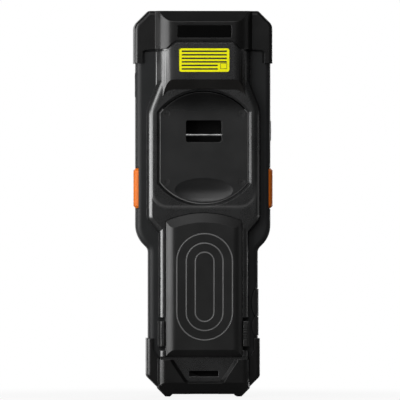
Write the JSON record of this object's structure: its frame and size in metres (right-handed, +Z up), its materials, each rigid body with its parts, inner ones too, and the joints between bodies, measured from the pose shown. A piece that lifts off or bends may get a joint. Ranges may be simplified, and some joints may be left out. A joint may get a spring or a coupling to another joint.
{
  "type": "portable barcode data terminal",
  "caption": "Rugged handheld data terminal with a scan window, screen, keypad, side scan triggers, latched battery pack and strap anchor, standing upright.",
  "frame": {"origin": "centre of the part's box at the bottom: the feet of the bottom bumper", "axes": "+Z up from the bottom bumper to the scan window; the back faces -Y and the screen +Y; +X to the right seen from behind, the side of the port cover"},
  "size_m": [0.0794, 0.038, 0.2203],
  "materials": {
    "housing": "fine spark-eroded texture, satin",
    "front_shell": "fine spark-eroded texture, satin",
    "bumper": "over-moulded rubber, matt with a soft sheen",
    "rear_plate": "matt, finely textured",
    "pack_cover": "matt, finely textured, glossy grooves",
    "cells": "shrink film",
    "gold": "gold-plated",
    "trigger": "satin orange, soft-touch",
    "label": "printed film",
    "name_field": "polished",
    "steel": "brushed",
    "black_steel": "black-zinc screws",
    "glass": "polished, black border behind",
    "panel": "switched-off display",
    "frame_alloy": "die-cast",
    "board": "solder-masked board",
    "key_side": "moulded key, light legend",
    "scan_key": "moulded orange key",
    "seal": "silicone",
    "connector": "moulded",
    "port_rubber": "matt rubber",
    "light_pipe": "clear pipe",
    "scan_glass": "deep red filter",
    "side_key": "matt rubber",
    "latch": "matt, ribbed"
  },
  "bodies": {
    "root": {"front_housing": "front_shell", "rear_housing": "housing", "top_bumper": "bumper", "bottom_bumper": "bumper", "display_window": "glass", "display_panel": "panel", "mid_frame": "frame_alloy", "main_board": "board", "shield_cans": "steel", "key_board": "board", "key_domes": "steel", "speaker": "connector", "scan_engine": "connector", "scan_window": "scan_glass", "rear_plate": "rear_plate", "plate_screws": "black_steel", "strap_bar": "steel", "case_screws": "black_steel", "nameplate": "name_field", "asset_label": "label", "housing_seal": "seal", "battery_contacts": "gold", "dock_connector": "connector", "usb_socket": "steel", "status_led": "light_pipe", "side_switches": "connector", "port_cover_anchor": "port_rubber", "left_latch_spring": "steel", "right_latch_spring": "steel"},
    "battery_pack": {"battery_cover": "pack_cover", "battery_cells": "cells", "battery_pads": "gold"},
    "left_latch": {"left_latch": "latch"},
    "right_latch": {"right_latch": "latch"},
    "left_trigger": {"left_trigger": "trigger"},
    "right_trigger": {"right_trigger": "trigger"},
    "power_key": {"power_key": "side_key"},
    "volume_key": {"volume_key": "side_key"},
    "port_cover": {"port_cover": "port_rubber"},
    "key_1": {"key_1": "key_side"},
    "key_2": {"key_2": "key_side"},
    "key_3": {"key_3": "key_side"},
    "back_key": {"back_key": "key_side"},
    "key_4": {"key_4": "key_side"},
    "key_5": {"key_5": "key_side"},
    "key_6": {"key_6": "key_side"},
    "tab_key": {"tab_key": "key_side"},
    "key_7": {"key_7": "key_side"},
    "key_8": {"key_8": "key_side"},
    "key_9": {"key_9": "key_side"},
    "function_key": {"function_key": "key_side"},
    "point_key": {"point_key": "key_side"},
    "key_0": {"key_0": "key_side"},
    "minus_key": {"minus_key": "key_side"},
    "enter_key": {"enter_key": "key_side"},
    "up_key": {"up_key": "key_side"},
    "down_key": {"down_key": "key_side"},
    "left_key": {"left_key": "key_side"},
    "right_key": {"right_key": "key_side"},
    "scan_key": {"scan_key": "scan_key"}
  },
  "joints": [
    {"name": "battery_pack_tilt", "type": "hinge", "parent": "root", "child": "battery_pack", "pos_m": [0, -0.015, 0.105], "axis": [-1, 0, 0], "range_deg": [0, 50]},
    {"name": "left_latch_slide", "type": "slide", "parent": "root", "child": "left_latch", "axis": [0, 0, -1], "range_m": [0, 0.002], "stiffness_N_per_m": 600, "deforming": ["left_latch_spring"]},
    {"name": "right_latch_slide", "type": "slide", "parent": "root", "child": "right_latch", "axis": [0, 0, -1], "range_m": [0, 0.002], "stiffness_N_per_m": 600, "deforming": ["right_latch_spring"]},
    {"name": "left_trigger_press", "type": "slide", "parent": "root", "child": "left_trigger", "axis": [1, 0, 0], "range_m": [0, 0.0012], "stiffness_N_per_m": 1800},
    {"name": "right_trigger_press", "type": "slide", "parent": "root", "child": "right_trigger", "axis": [-1, 0, 0], "range_m": [0, 0.0012], "stiffness_N_per_m": 1800},
    {"name": "power_key_press", "type": "slide", "parent": "root", "child": "power_key", "axis": [-1, 0, 0], "range_m": [0, 0.0005], "stiffness_N_per_m": 2400},
    {"name": "volume_key_rock", "type": "hinge", "parent": "root", "child": "volume_key", "pos_m": [-0.036, -0.0004, 0.1781], "axis": [0, 1, 0], "range_deg": [-3, 3], "stiffness_Nm_per_rad": 0.12},
    {"name": "port_cover_hinge", "type": "hinge", "parent": "root", "child": "port_cover", "pos_m": [0.0316, -0.003, 0.0459], "axis": [0, 1, 0], "range_deg": [0, 100]},
    {"name": "key_1_press", "type": "slide", "parent": "root", "child": "key_1", "axis": [0, -1, 0], "range_m": [0, 0.0008], "stiffness_N_per_m": 1200},
    {"name": "key_2_press", "type": "slide", "parent": "root", "child": "key_2", "axis": [0, -1, 0], "range_m": [0, 0.0008], "stiffness_N_per_m": 1200},
    {"name": "key_3_press", "type": "slide", "parent": "root", "child": "key_3", "axis": [0, -1, 0], "range_m": [0, 0.0008], "stiffness_N_per_m": 1200},
    {"name": "back_key_press", "type": "slide", "parent": "root", "child": "back_key", "axis": [0, -1, 0], "range_m": [0, 0.0008], "stiffness_N_per_m": 1200},
    {"name": "key_4_press", "type": "slide", "parent": "root", "child": "key_4", "axis": [0, -1, 0], "range_m": [0, 0.0008], "stiffness_N_per_m": 1200},
    {"name": "key_5_press", "type": "slide", "parent": "root", "child": "key_5", "axis": [0, -1, 0], "range_m": [0, 0.0008], "stiffness_N_per_m": 1200},
    {"name": "key_6_press", "type": "slide", "parent": "root", "child": "key_6", "axis": [0, -1, 0], "range_m": [0, 0.0008], "stiffness_N_per_m": 1200},
    {"name": "tab_key_press", "type": "slide", "parent": "root", "child": "tab_key", "axis": [0, -1, 0], "range_m": [0, 0.0008], "stiffness_N_per_m": 1200},
    {"name": "key_7_press", "type": "slide", "parent": "root", "child": "key_7", "axis": [0, -1, 0], "range_m": [0, 0.0008], "stiffness_N_per_m": 1200},
    {"name": "key_8_press", "type": "slide", "parent": "root", "child": "key_8", "axis": [0, -1, 0], "range_m": [0, 0.0008], "stiffness_N_per_m": 1200},
    {"name": "key_9_press", "type": "slide", "parent": "root", "child": "key_9", "axis": [0, -1, 0], "range_m": [0, 0.0008], "stiffness_N_per_m": 1200},
    {"name": "function_key_press", "type": "slide", "parent": "root", "child": "function_key", "axis": [0, -1, 0], "range_m": [0, 0.0008], "stiffness_N_per_m": 1200},
    {"name": "point_key_press", "type": "slide", "parent": "root", "child": "point_key", "axis": [0, -1, 0], "range_m": [0, 0.0008], "stiffness_N_per_m": 1200},
    {"name": "key_0_press", "type": "slide", "parent": "root", "child": "key_0", "axis": [0, -1, 0], "range_m": [0, 0.0008], "stiffness_N_per_m": 1200},
    {"name": "minus_key_press", "type": "slide", "parent": "root", "child": "minus_key", "axis": [0, -1, 0], "range_m": [0, 0.0008], "stiffness_N_per_m": 1200},
    {"name": "enter_key_press", "type": "slide", "parent": "root", "child": "enter_key", "axis": [0, -1, 0], "range_m": [0, 0.0008], "stiffness_N_per_m": 1200},
    {"name": "up_key_press", "type": "slide", "parent": "root", "child": "up_key", "axis": [0, -1, 0], "range_m": [0, 0.0008], "stiffness_N_per_m": 1200},
    {"name": "down_key_press", "type": "slide", "parent": "root", "child": "down_key", "axis": [0, -1, 0], "range_m": [0, 0.0008], "stiffness_N_per_m": 1200},
    {"name": "left_key_press", "type": "slide", "parent": "root", "child": "left_key", "axis": [0, -1, 0], "range_m": [0, 0.0008], "stiffness_N_per_m": 1200},
    {"name": "right_key_press", "type": "slide", "parent": "root", "child": "right_key", "axis": [0, -1, 0], "range_m": [0, 0.0008], "stiffness_N_per_m": 1200},
    {"name": "scan_key_press", "type": "slide", "parent": "root", "child": "scan_key", "axis": [0, -1, 0], "range_m": [0, 0.0008], "stiffness_N_per_m": 1200}
  ]
}
